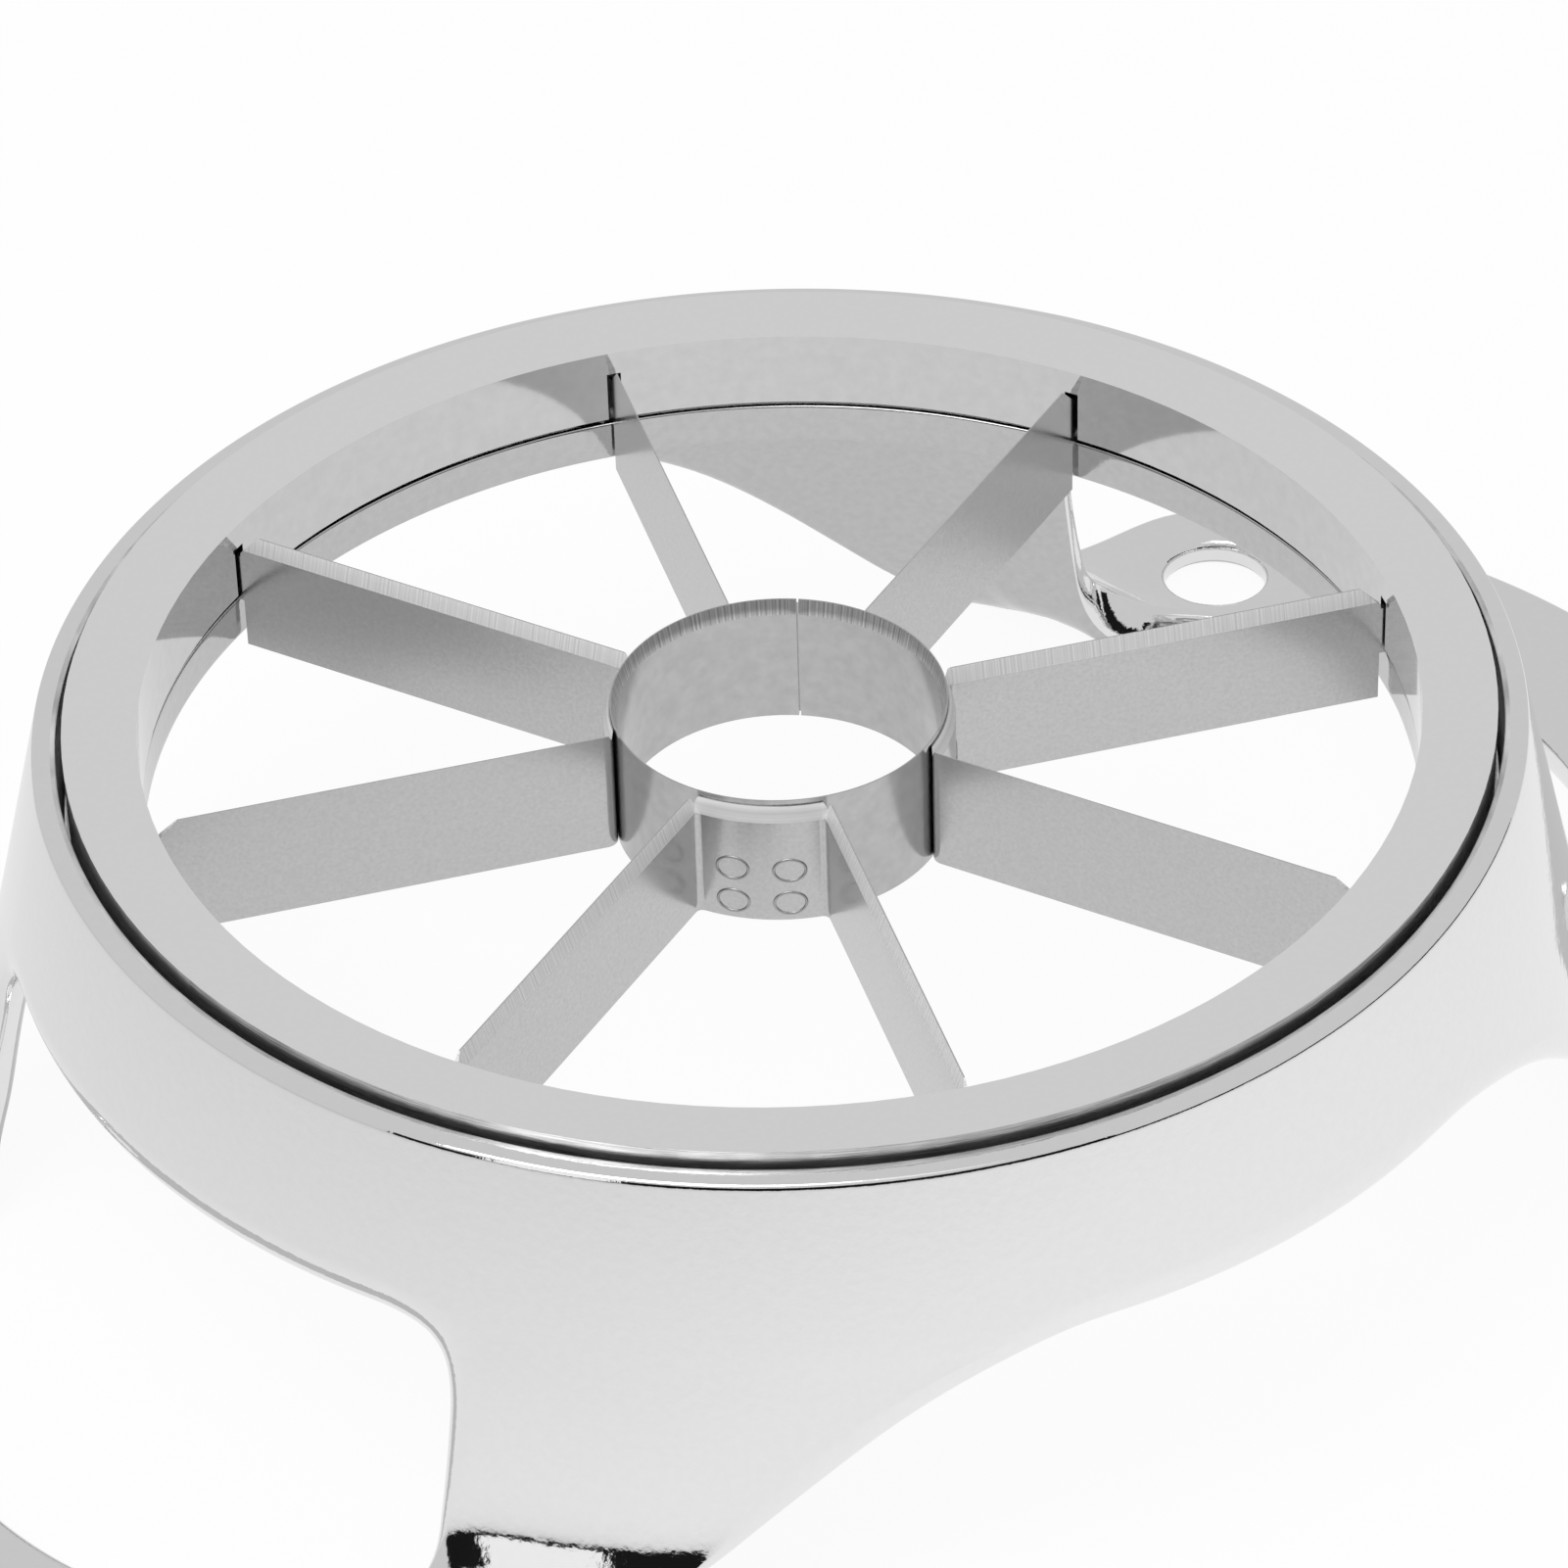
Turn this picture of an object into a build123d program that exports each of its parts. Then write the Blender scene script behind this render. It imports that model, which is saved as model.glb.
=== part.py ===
from build123d import *
import math
import os

# Apple slicer: a die-cast frame with two loop handles, a slotted ring that
# traps four bent blade strips, and a rolled core tube in the middle.
#
# Frame: origin under the middle of the slicer on the plane it rests on,
# +Z up along the axis of the ring, +X along the handles.
# The cutting edges look up. Millimetres.

# ---- driving dimensions ---------------------------------------------------

# ring
RING_BORE_R = 45.8        # clear opening
RING_WIDTH = 5.3          # bore to outer edge
RING_HEIGHT = 6.5         # at the bore
RING_DISH = 0.6           # the top rises this much towards the outer edge
RING_EDGE = 0.35          # rounding of the ring's edges at the bore
RING_OUTER_EDGE = 0.7     # and of its outer top edge
RING_RELIEF_DEPTH = 0.5   # undercut at the bore, over the ledge
RING_RELIEF_WIDTH = 1.6

# frame casting
WALL = 2.5                # wall of the skirt, arms and handle plates
SKIRT_FLARE = 13.5        # degrees, the skirt opens downwards
RIM_WIDTH = 1.7           # top land of the rim round the ring
RIM_EDGE = 0.6
SEAT_EDGE = 0.2           # the rim's edge at the groove
RING_SEAT_GAP = 0.55      # radial gap between ring and rim, the visible groove
RIM_STEP = 1.0            # the rim stands this far under the ring's outer edge
LEDGE_SETBACK = 0.2       # the ledge's bore stands this far behind the ring's
LEDGE_THICKNESS = 3.2
LEDGE_EDGE = 0.4
BAND_HEIGHT = 13.5        # closed band under the rim, above the gaps
REST_TO_BORE_EDGE = 38.0  # resting plane to the ring's inner top edge
FOOT_ROUND = 8.0          # the arms turn into the plates on this radius
FOOT_ROUND_UNDER = 3.0    # and on this one on their underside

# gaps in the skirt
WINDOW_TOP_HALF = 26.6    # between the two arms of one handle, at the top
WINDOW_FOOT_HALF = 29.4   # and on the resting plane
WINDOW_CORNER = 4.5
GAP_HALF_ANGLE = 18.0     # degrees, level top of a side gap, each way from Y
ARM_EDGE_ANGLES = (66.0, 60.5, 55.0, 50.0, 47.0)  # outer edge of an arm, degrees from X
ARM_EDGE_DROPS = (1.6, 3.8, 7.6, 11.8, 15.0)      # and how far it is under the band there

# handle plates
HANDLE_LENGTH = 17.1      # foot of the skirt to the end of a handle
HANDLE_END_R = 54.0       # outer arc of a handle
HANDLE_HALF_WIDTH = 37.5
SIDE_FROM_END = 25.2      # where an arm's edge has run into the plate's side
HANDLE_CORNER = 6.0
LOOP_R = 33.0             # inner arc of a handle's loop
LOOP_FROM_END = 13.7      # width of the grip at the middle of the loop
HOLE_R = 4.0
HOLE_FROM_END = 18.6
HOLE_Y = 28.0
HOLE_EDGE = 0.6

# blades
BLADE_SHEET = 0.5
BLADE_HEIGHT = 9.8
BLADE_DROP = 0.7          # cutting edge under the ring's inner top edge
WEDGES = 8
BEND_R = 0.5              # inside radius of a strip's two bends
GRIND_HEIGHT = 1.2        # ground bevel of the cutting edges
EDGE_LAND = 0.1           # sheet left at a cutting edge
CORNER_CUT = 1.5          # chamfer at the outer end of a cutting edge
BLADE_END_GAP = 0.3       # blade end to ring bore
TAB_REACH = 3.0           # tab into the ring's slot
TAB_HEIGHT = 4.0
SLOT_SIDE_GAP = 0.3       # ring slot beside a tab
SLOT_END_GAP = 0.5
SLOT_TOP_GAP = 0.6

# core tube
CORE_OUTER_R = 12.1
CORE_SHEET = 0.4
CORE_HEIGHT = 10.3
CORE_DROP = 0.3           # top of the tube under the ring's inner top edge
SEAM_GAP = 0.15
SEAM_ANGLE = 45.0
WELD_FIT = 0.02           # tube to strip, where they are spot-welded

# ---- levels and radii that follow -----------------------------------------

ledge_top = REST_TO_BORE_EDGE - RING_HEIGHT
ledge_bottom = ledge_top - LEDGE_THICKNESS
ring_top_outer = REST_TO_BORE_EDGE + RING_DISH
rim_z = ring_top_outer - RIM_STEP
band_bottom = rim_z - BAND_HEIGHT
ring_outer_r = RING_BORE_R + RING_WIDTH
ledge_bore_r = RING_BORE_R + LEDGE_SETBACK
seat_r = ring_outer_r + RING_SEAT_GAP
rim_outer_r = seat_r + RIM_WIDTH
blade_top = REST_TO_BORE_EDGE - BLADE_DROP
blade_bottom = blade_top - BLADE_HEIGHT
blade_end_r = RING_BORE_R - BLADE_END_GAP
tab_end_r = RING_BORE_R + TAB_REACH
slot_width = BLADE_SHEET + 2 * SLOT_SIDE_GAP
web_inner_r = CORE_OUTER_R + WELD_FIT
flare_run = math.tan(math.radians(SKIRT_FLARE))
wall_across = WALL / math.cos(math.radians(SKIRT_FLARE))
half_wedge = 180.0 / WEDGES


def skirt_r(z):
    """Outer radius of the skirt's cone at a height."""
    return rim_outer_r + (rim_z - z) * flare_run


foot_tangent = FOOT_ROUND * math.tan(math.radians(90 - SKIRT_FLARE) / 2)
handle_reach = skirt_r(WALL) + foot_tangent + HANDLE_LENGTH
plate_reach = 1.1 * handle_reach
loop_centre = handle_reach - LOOP_FROM_END - LOOP_R
hole_x = handle_reach - HOLE_FROM_END


# ---- frame casting --------------------------------------------------------

def arm_edge_points():
    """Outer edge of the arm in the +X +Y quarter, seen from above."""
    band_r = skirt_r(band_bottom)
    start = math.radians(90 - GAP_HALF_ANGLE)
    points = [(band_r * math.cos(start), band_r * math.sin(start))]
    for degrees, drop in zip(ARM_EDGE_ANGLES, ARM_EDGE_DROPS):
        radius = skirt_r(band_bottom - drop)
        angle = math.radians(degrees)
        points.append((radius * math.cos(angle), radius * math.sin(angle)))
    points.append((handle_reach - SIDE_FROM_END, HANDLE_HALF_WIDTH))
    return points


def outline_tool():
    """Everything outside the frame's outline, seen from above."""
    points = arm_edge_points()
    first = points[0]
    band_r = skirt_r(band_bottom)
    end_centre = handle_reach - HANDLE_END_R
    corner_x = end_centre + math.sqrt(HANDLE_END_R ** 2 - HANDLE_HALF_WIDTH ** 2)
    corner = (corner_x, HANDLE_HALF_WIDTH)
    with BuildSketch() as quarter:
        with BuildLine():
            CenterArc((0, 0), band_r, 90 - GAP_HALF_ANGLE, GAP_HALF_ANGLE)
            Spline(*points, tangents=((first[1], -first[0]), (1, 0)))
            Line(points[-1], corner)
            RadiusArc(corner, (handle_reach, 0), HANDLE_END_R)
            Polyline((handle_reach, 0), (0, 0), (0, band_r))
        make_face()
        fillet(quarter.vertices().sort_by_distance((*corner, 0))[0], HANDLE_CORNER)
        mirror(about=Plane.XZ)
        mirror(about=Plane.YZ)
    outside = Circle(2 * handle_reach) - quarter.sketch
    return extrude(Pos(0, 0, -WALL) * outside, amount=band_bottom + 2 * WALL)


def window_tool():
    """What is missing between the two arms of the handle at +X."""
    loop = Pos(loop_centre, 0) * Circle(LOOP_R)
    passage = Pos(loop_centre / 2, 0) * Rectangle(loop_centre, 2 * LOOP_R)
    below = extrude(Pos(0, 0, -WALL) * (loop + passage), amount=band_bottom + 2 * WALL)
    spread = (WINDOW_FOOT_HALF - WINDOW_TOP_HALF) / band_bottom
    low_half = WINDOW_FOOT_HALF + WALL * spread
    with BuildSketch(Plane.YZ) as front:
        with BuildLine():
            Polyline(
                (-low_half, -WALL),
                (-WINDOW_TOP_HALF, band_bottom),
                (WINDOW_TOP_HALF, band_bottom),
                (low_half, -WALL),
                close=True,
            )
        make_face()
        fillet(front.vertices().group_by(Axis.Z)[-1], WINDOW_CORNER)
    return below & extrude(front.sketch, amount=handle_reach)


def frame_skin():
    """Outer skin of skirt, arms and plates, with every gap cut out."""
    with BuildLine(Plane.XZ) as profile:
        FilletPolyline(
            (rim_outer_r, rim_z),
            (skirt_r(WALL), WALL),
            (plate_reach, WALL),
            radius=FOOT_ROUND,
        )
    skin = Shell.revolve(profile.line, 360, Axis.Z)
    window = window_tool()
    holes = [
        Pos(side_x * hole_x, side_y * HOLE_Y, 0) * Cylinder(HOLE_R, 4 * WALL)
        for side_x in (1, -1)
        for side_y in (1, -1)
    ]
    for tool in [outline_tool(), window, mirror(window, about=Plane.YZ)] + holes:
        skin = skin.cut(*tool.solids())
    return Shell(skin.faces())


def rim_and_ledge():
    """Turned upper part: rim land, ring seat and the ledge under the ring."""
    below = ledge_bottom - WALL
    with BuildSketch(Plane.XZ) as section:
        with BuildLine():
            Polyline(
                (rim_outer_r, rim_z),
                (skirt_r(below), below),
                (skirt_r(below) - wall_across, below),
                (skirt_r(ledge_bottom) - wall_across, ledge_bottom),
                (ledge_bore_r, ledge_bottom),
                (ledge_bore_r, ledge_top),
                (seat_r, ledge_top),
                (seat_r, rim_z),
                close=True,
            )
        make_face()
        points = section.vertices()
        fillet(points.sort_by_distance((rim_outer_r, 0, rim_z))[0], RIM_EDGE)
        fillet(points.sort_by_distance((seat_r, 0, rim_z))[0], SEAT_EDGE)
        fillet(points.sort_by_distance((ledge_bore_r, 0, ledge_top))[0], LEDGE_EDGE)
        fillet(points.sort_by_distance((ledge_bore_r, 0, ledge_bottom))[0], LEDGE_EDGE)
    return revolve(section.sketch, Axis.Z)


def hollow():
    """Space under the casting's inner skin, down past the resting plane."""
    with BuildSketch(Plane.XZ) as section:
        with BuildLine():
            Polyline(
                (0, -2 * WALL),
                (0, ledge_bottom),
                (skirt_r(ledge_bottom) - wall_across, ledge_bottom),
                (skirt_r(0) - wall_across, 0),
                (plate_reach, 0),
                (plate_reach, -2 * WALL),
                close=True,
            )
        make_face()
        points = section.vertices()
        foot = points.sort_by_distance((skirt_r(0) - wall_across, 0, 0))[0]
        fillet(foot, FOOT_ROUND_UNDER)
    return revolve(section.sketch, Axis.Z)


def frame_casting():
    """Skirt, four arms, two handle plates, rim and ledge, in one casting."""
    seat_depth = rim_z - ledge_top
    seat = Pos(0, 0, ledge_top + seat_depth) * Cylinder(seat_r, 2 * seat_depth)
    walls = Solid.thicken(frame_skin(), 2 * WALL) - seat
    casting = walls + rim_and_ledge() - hollow()
    hole_edges = [
        edge
        for edge in casting.edges().filter_by(GeomType.CIRCLE)
        if abs(edge.radius - HOLE_R) < HOLE_EDGE / 2 and edge.center().Z < 2 * WALL
    ]
    return fillet(hole_edges, HOLE_EDGE)


# ---- ring -----------------------------------------------------------------

def blade_ring():
    """Ring that drops over the blade tabs and traps them on the ledge."""
    relief_z = ledge_top + RING_RELIEF_DEPTH
    relief_r = RING_BORE_R + RING_RELIEF_WIDTH
    with BuildSketch(Plane.XZ) as section:
        with BuildLine():
            Polyline(
                (RING_BORE_R, relief_z),
                (relief_r, relief_z),
                (relief_r, ledge_top),
                (ring_outer_r, ledge_top),
                (ring_outer_r, ring_top_outer),
                (RING_BORE_R, REST_TO_BORE_EDGE),
                close=True,
            )
        make_face()
        points = section.vertices()
        rounded = [
            (ring_outer_r, ring_top_outer, RING_OUTER_EDGE),
            (RING_BORE_R, REST_TO_BORE_EDGE, RING_EDGE),
            (RING_BORE_R, relief_z, RING_EDGE),
        ]
        for radius, height, edge in rounded:
            fillet(points.sort_by_distance((radius, 0, height))[0], edge)
    ring = revolve(section.sketch, Axis.Z)
    slot_top = ledge_top + TAB_HEIGHT + SLOT_TOP_GAP
    slot_end = tab_end_r + SLOT_END_GAP
    slot_length = slot_end - RING_BORE_R + 2 * RING_EDGE
    slot_height = slot_top - ledge_top + RING_EDGE
    slot = Pos(slot_end - slot_length / 2, 0, slot_top - slot_height / 2) * Box(
        slot_length, slot_width, slot_height
    )
    for k in range(WEDGES):
        ring -= Rot(0, 0, (2 * k + 1) * half_wedge) * slot
    return ring


# ---- core tube ------------------------------------------------------------

def core_tube():
    """Strip rolled into a tube, its seam left open, ground inside at the top."""
    top = REST_TO_BORE_EDGE - CORE_DROP
    inner_r = CORE_OUTER_R - CORE_SHEET
    with BuildSketch(Plane.XZ) as section:
        with BuildLine():
            Polyline(
                (inner_r, top - CORE_HEIGHT),
                (CORE_OUTER_R, top - CORE_HEIGHT),
                (CORE_OUTER_R, top),
                (CORE_OUTER_R - EDGE_LAND, top),
                (inner_r, top - GRIND_HEIGHT),
                close=True,
            )
        make_face()
    tube = revolve(section.sketch, Axis.Z)
    seam = Pos(CORE_OUTER_R, 0, top - CORE_HEIGHT / 2) * Box(4 * CORE_SHEET, SEAM_GAP, 2 * CORE_HEIGHT)
    return tube - Rot(0, 0, SEAM_ANGLE) * seam


# ---- blade strips ---------------------------------------------------------

def wing_outline():
    """Side view of one wing in XZ: full height to the bore, tab beyond it."""
    with BuildSketch(Plane.XZ) as side:
        with BuildLine():
            Polyline(
                (0, blade_bottom),
                (blade_end_r, blade_bottom),
                (blade_end_r, ledge_top),
                (tab_end_r, ledge_top),
                (tab_end_r, ledge_top + TAB_HEIGHT),
                (blade_end_r, ledge_top + TAB_HEIGHT),
                (blade_end_r, blade_top - CORNER_CUT),
                (blade_end_r - CORNER_CUT, blade_top),
                (0, blade_top),
                close=True,
            )
        make_face()
    return side.sketch


def strip_plan():
    """Plan of one strip about +X: a web round the core and two radial wings."""
    web_outer_r = web_inner_r + BLADE_SHEET
    half = BLADE_SHEET / 2
    wing = Pos((web_outer_r + tab_end_r) / 2, 0) * Rectangle(tab_end_r - web_outer_r + half, BLADE_SHEET)
    wings = Rot(0, 0, half_wedge) * wing + Rot(0, 0, -half_wedge) * wing
    far = 2 * web_outer_r
    apex = half / math.sin(math.radians(half_wedge))
    rise = (far + apex) * math.tan(math.radians(half_wedge))
    sector = Polygon((-apex, 0), (far, -rise), (far, rise), align=None)
    web = (Circle(web_outer_r) - Circle(web_inner_r)) & sector
    plan = wings + web
    corners = (
        (math.sqrt(web_outer_r ** 2 - half ** 2), -half, BEND_R),
        (math.sqrt(web_inner_r ** 2 - half ** 2), half, BEND_R + BLADE_SHEET),
    )
    for x, y, radius in corners:
        for side in (1, -1):
            spot = Vector(x, side * y, 0).rotate(Axis.Z, side * half_wedge)
            corner = plan.vertices().sort_by_distance(spot)[0]
            plan = fillet(corner, radius)
    return plan


def grind_tool():
    """Removes the ground bevel: all that lies between the wings, widening upwards."""
    reach = 2 * tab_end_r
    levels = []
    for height, inset in ((blade_top - GRIND_HEIGHT, 0.0), (blade_top, BLADE_SHEET - EDGE_LAND)):
        web_r = web_inner_r + BLADE_SHEET - inset
        shift = (BLADE_SHEET / 2 - inset) / math.sin(math.radians(half_wedge))
        rise = (reach - shift) * math.tan(math.radians(half_wedge))
        between = Polygon((shift, 0), (reach, -rise), (reach, rise), align=None)
        levels.append(Pos(0, 0, height) * (between - Circle(web_r)))
    return loft([level.face() for level in levels], ruled=True)


def blade_strip():
    """One strip: two wings and the web between them, ready to be turned."""
    plan = strip_plan()
    strip = extrude(Pos(0, 0, blade_bottom) * plan, amount=BLADE_HEIGHT)
    outline = wing_outline()
    side = extrude(outline, amount=tab_end_r, both=True)
    keep = Rot(0, 0, half_wedge) * side & Pos(0, tab_end_r, 0) * Box(4 * tab_end_r, 2 * tab_end_r, 4 * tab_end_r)
    keep += mirror(keep, about=Plane.XZ)
    return (strip & keep) - grind_tool()


# ---- write ----------------------------------------------------------------

if __name__ == "__main__":
    os.makedirs("parts", exist_ok=True)
    nodes = {
        "frame_casting": frame_casting(),
        "blade_ring": blade_ring(),
        "core_tube": core_tube(),
    }
    strip = blade_strip()
    for k in range(WEDGES // 2):
        angle = 2 * half_wedge * (2 * k + 1)
        nodes[f"blade_strip_{k + 1}"] = Rot(0, 0, angle) * strip
    for name, shape in nodes.items():
        export_step(shape, f"parts/{name}.step")
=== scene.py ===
"""Looks of an apple slicer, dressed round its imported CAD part.

The slicer is a chrome-plated die casting with two loop handles, a slotted ring
in its seat, four bent blade strips and a rolled core tube. Every length in a
class below is in millimetres, and a mesh is brought to metres when it is done.
"""

import logging
import math
from dataclasses import dataclass, field
from enum import Enum
from typing import Callable

import bmesh
import bpy
from mathutils import Matrix, Vector

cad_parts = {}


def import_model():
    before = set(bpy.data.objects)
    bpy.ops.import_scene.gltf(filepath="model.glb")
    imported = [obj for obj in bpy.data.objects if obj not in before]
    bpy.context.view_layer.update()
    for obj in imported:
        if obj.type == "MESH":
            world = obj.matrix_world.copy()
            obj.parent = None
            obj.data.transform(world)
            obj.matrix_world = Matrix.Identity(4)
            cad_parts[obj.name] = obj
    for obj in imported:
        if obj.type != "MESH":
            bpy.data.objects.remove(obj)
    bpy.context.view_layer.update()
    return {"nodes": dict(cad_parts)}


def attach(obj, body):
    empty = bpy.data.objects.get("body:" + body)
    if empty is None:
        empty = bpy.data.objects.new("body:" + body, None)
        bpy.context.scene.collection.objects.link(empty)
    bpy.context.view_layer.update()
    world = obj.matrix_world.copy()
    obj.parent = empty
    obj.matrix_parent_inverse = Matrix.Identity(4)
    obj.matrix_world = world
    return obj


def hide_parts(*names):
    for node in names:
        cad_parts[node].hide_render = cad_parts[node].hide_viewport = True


LOG = logging.getLogger("apple_slicer")

MM = 0.001
WELD_DISTANCE = 1e-3  # doubles of a CAD mesh
SEAM_DISTANCE = 0.02  # edges of two grids that join
NEAR = 0.01  # places on the skin that count as one
SEAT_SLOT, INSIDE_SHADE_SLOT = 1, 2  # the casting's materials after its chrome; the inside one is a darker grey, painted shade


# ---- finishes -------------------------------------------------------------

GRAIN_DETAIL = 4.0
GRAIN_SPAN = (0.3, 0.7)  # part of the noise that the grey level follows


def grey(tone: float) -> tuple[float, float, float, float]:
    """Gives an opaque grey."""
    return (tone, tone, tone, 1.0)


def math_node(
    nodes: bpy.types.Nodes, operation: str, kind: str = "ShaderNodeMath"
) -> bpy.types.Node:
    """Adds a node that works out one operation."""
    made = nodes.new(kind)
    made.operation = operation
    return made


class Grain(Enum):
    """How a metal surface is worked."""

    PLATED = "plated all over"
    ACROSS = "ground across a blade"
    TURNED = "turned round the axis"


@dataclass(frozen=True)
class MetalFinish:
    """A bare or plated metal surface.

    Attributes:
        name: Name of the material.
        tone: Grey level of the metal.
        roughness: Mean roughness.
        grain: How the surface is worked.
        grain_scale: Grain features per metre along X, Y and Z. On worked metal they
            are along the radius, round the axis in radians, and up.
        relief: Height of the grain in metres.
        mottle: How far the grey level wanders.
        metallic: How much of it mirrors. The rest scatters light, as ground steel does.
    """

    name: str
    tone: float
    roughness: float
    grain: Grain = Grain.PLATED
    grain_scale: tuple[float, float, float] = (400.0, 400.0, 400.0)
    relief: float = 2e-6
    mottle: float = 0.04
    metallic: float = 1.0

    def material(self) -> bpy.types.Material:
        """Builds the material.

        Returns:
            The new material.
        """
        made = bpy.data.materials.new(self.name)
        made.use_nodes = True
        nodes, links = made.node_tree.nodes, made.node_tree.links
        shader = nodes["Principled BSDF"]
        shader.inputs["Metallic"].default_value = self.metallic
        shader.inputs["Roughness"].default_value = self.roughness
        mapping = nodes.new("ShaderNodeMapping")
        mapping.inputs["Scale"].default_value = self.grain_scale
        links.new(self.grain_place(nodes, links), mapping.inputs["Vector"])
        noise = nodes.new("ShaderNodeTexNoise")
        noise.inputs["Scale"].default_value = 1.0
        noise.inputs["Detail"].default_value = GRAIN_DETAIL
        links.new(mapping.outputs["Vector"], noise.inputs["Vector"])
        tones = nodes.new("ShaderNodeValToRGB")
        low, high = tones.color_ramp.elements[0], tones.color_ramp.elements[1]
        low.position, high.position = GRAIN_SPAN
        low.color = grey(self.tone - self.mottle)
        high.color = grey(self.tone + self.mottle)
        links.new(noise.outputs["Fac"], tones.inputs["Fac"])
        links.new(tones.outputs["Color"], shader.inputs["Base Color"])
        bump = nodes.new("ShaderNodeBump")
        bump.inputs["Distance"].default_value = self.relief
        bump.inputs["Strength"].default_value = 1.0
        links.new(noise.outputs["Fac"], bump.inputs["Height"])
        links.new(bump.outputs["Normal"], shader.inputs["Normal"])
        return made

    def grain_place(
        self, nodes: bpy.types.Nodes, links: bpy.types.NodeLinks
    ) -> bpy.types.NodeSocket:
        """Adds the coordinate that the grain is drawn on.

        Args:
            nodes: Nodes of the material.
            links: Links of the material.

        Returns:
            The socket that holds the coordinate.
        """
        place = nodes.new("ShaderNodeTexCoord")
        if self.grain is Grain.PLATED:
            return place.outputs["Object"]
        split = nodes.new("ShaderNodeSeparateXYZ")
        links.new(place.outputs["Object"], split.inputs["Vector"])
        flat = nodes.new("ShaderNodeCombineXYZ")
        links.new(split.outputs["X"], flat.inputs["X"])
        links.new(split.outputs["Y"], flat.inputs["Y"])
        radius = math_node(nodes, "LENGTH", "ShaderNodeVectorMath")
        links.new(flat.outputs["Vector"], radius.inputs[0])
        joined = nodes.new("ShaderNodeCombineXYZ")
        links.new(radius.outputs["Value"], joined.inputs["X"])
        if self.grain is Grain.TURNED:
            around = math_node(nodes, "ARCTAN2")
            links.new(split.outputs["Y"], around.inputs[0])
            links.new(split.outputs["X"], around.inputs[1])
            links.new(around.outputs[0], joined.inputs["Y"])
            links.new(split.outputs["Z"], joined.inputs["Z"])
        return joined.outputs["Vector"]


CASTING_CHROME = MetalFinish(
    "casting_chrome",
    0.82,
    0.04,
    grain_scale=(1500.0, 1500.0, 1500.0),
    mottle=0.008,
    relief=1.1e-5,
)
# Painted shade: a darker grey than the outer chrome, for the shade that falls inside and under
# the casting.
CASTING_INSIDE_SHADE = MetalFinish(
    "casting_inside_painted_shade",
    0.53,
    0.12,
    grain_scale=(1500.0, 1500.0, 1500.0),
    mottle=0.02,
    relief=1.1e-5,
)
SEAT_WALL = MetalFinish("seat_wall", 0.7, 0.3, Grain.TURNED, (0.0, 12.0, 9000.0), 2e-5, 0.2)
RING_CHROME = MetalFinish(
    "ring_chrome", 0.88, 0.07, grain_scale=(1800.0, 1800.0, 1800.0), mottle=0.008, relief=3e-6
)
RING_BORE = MetalFinish("ring_bore", 0.6, 0.08, grain_scale=(900.0, 900.0, 900.0), mottle=0.02)
RING_WALL = MetalFinish("ring_wall", 0.72, 0.28, Grain.TURNED, (0.0, 10.0, 8000.0), 2e-5, 0.25)
CORE_STEEL = MetalFinish(
    "core_steel", 0.48, 0.2, grain_scale=(900.0, 900.0, 900.0), mottle=0.03
)
CORE_EDGE = MetalFinish(
    "core_edge", 0.55, 0.35, Grain.TURNED, (0.0, 70.0, 0.0), 2e-5, 0.3, metallic=0.8
)
BLADE_STEEL = MetalFinish(
    "blade_steel", 0.53, 0.22, grain_scale=(3600.0, 3600.0, 3600.0), relief=1.5e-6, mottle=0.03
)
BLADE_EDGE = MetalFinish(
    "blade_edge", 0.82, 0.5, Grain.ACROSS, (6000.0, 0.0, 0.0), 1.5e-5, 0.18, metallic=0.3
)
WELD_STEEL = MetalFinish("weld_steel", 0.4, 0.35, mottle=0.03)


# ---- mesh helpers ---------------------------------------------------------


def grid_of(
    bm: bmesh.types.BMesh, columns: int, rows: int, place: Callable[[int, int], Vector]
) -> dict[tuple[int, int], bmesh.types.BMVert]:
    """Adds a grid and lays it on a surface.

    Args:
        bm: The bmesh that takes the grid.
        columns: Number of cells one way.
        rows: Number of cells the other way.
        place: Gives the place of the vertex at a column and row.

    Returns:
        The vertices by column and row.
    """
    made = bmesh.ops.create_grid(bm, x_segments=columns, y_segments=rows, size=1.0)
    found = {}
    for vert in made["verts"]:
        column = round((vert.co.x + 1.0) / 2.0 * columns)
        row = round((vert.co.y + 1.0) / 2.0 * rows)
        found[column, row] = vert
    for (column, row), vert in found.items():
        vert.co = place(column, row)
    return found


def mesh_of(bm: bmesh.types.BMesh, name: str) -> bpy.types.Mesh:
    """Turns a bmesh into a mesh and frees it."""
    mesh = bpy.data.meshes.new(name)
    bm.to_mesh(mesh)
    bm.free()
    return mesh


def linked(name: str, data: bpy.types.ID) -> bpy.types.Object:
    """Makes an object and links it to the scene."""
    made = bpy.data.objects.new(name, data)
    bpy.context.scene.collection.objects.link(made)
    return made


def object_of(
    bm: bmesh.types.BMesh, name: str, finishes: list[bpy.types.Material]
) -> bpy.types.Object:
    """Turns a bmesh in millimetres into a smooth-shaded object in metres.

    Args:
        bm: The finished bmesh, which is freed.
        name: Name of the object.
        finishes: Materials, in the order of the faces' material indices.

    Returns:
        The object, linked to the scene.
    """
    bmesh.ops.transform(bm, matrix=Matrix.Scale(MM, 4), verts=bm.verts)
    mesh = mesh_of(bm, name)
    mesh.shade_smooth()
    for finish in finishes:
        mesh.materials.append(finish)
    return linked(name, mesh)


def eased(share: float) -> float:
    """Gives a share held to 0 to 1 that starts and stops softly."""
    share = min(max(share, 0.0), 1.0)
    return share**2 * (3 - 2 * share)


def toward(angle: float) -> Vector:
    """Gives the unit vector of an angle in the XY plane."""
    return Vector((math.cos(angle), math.sin(angle)))


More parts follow.
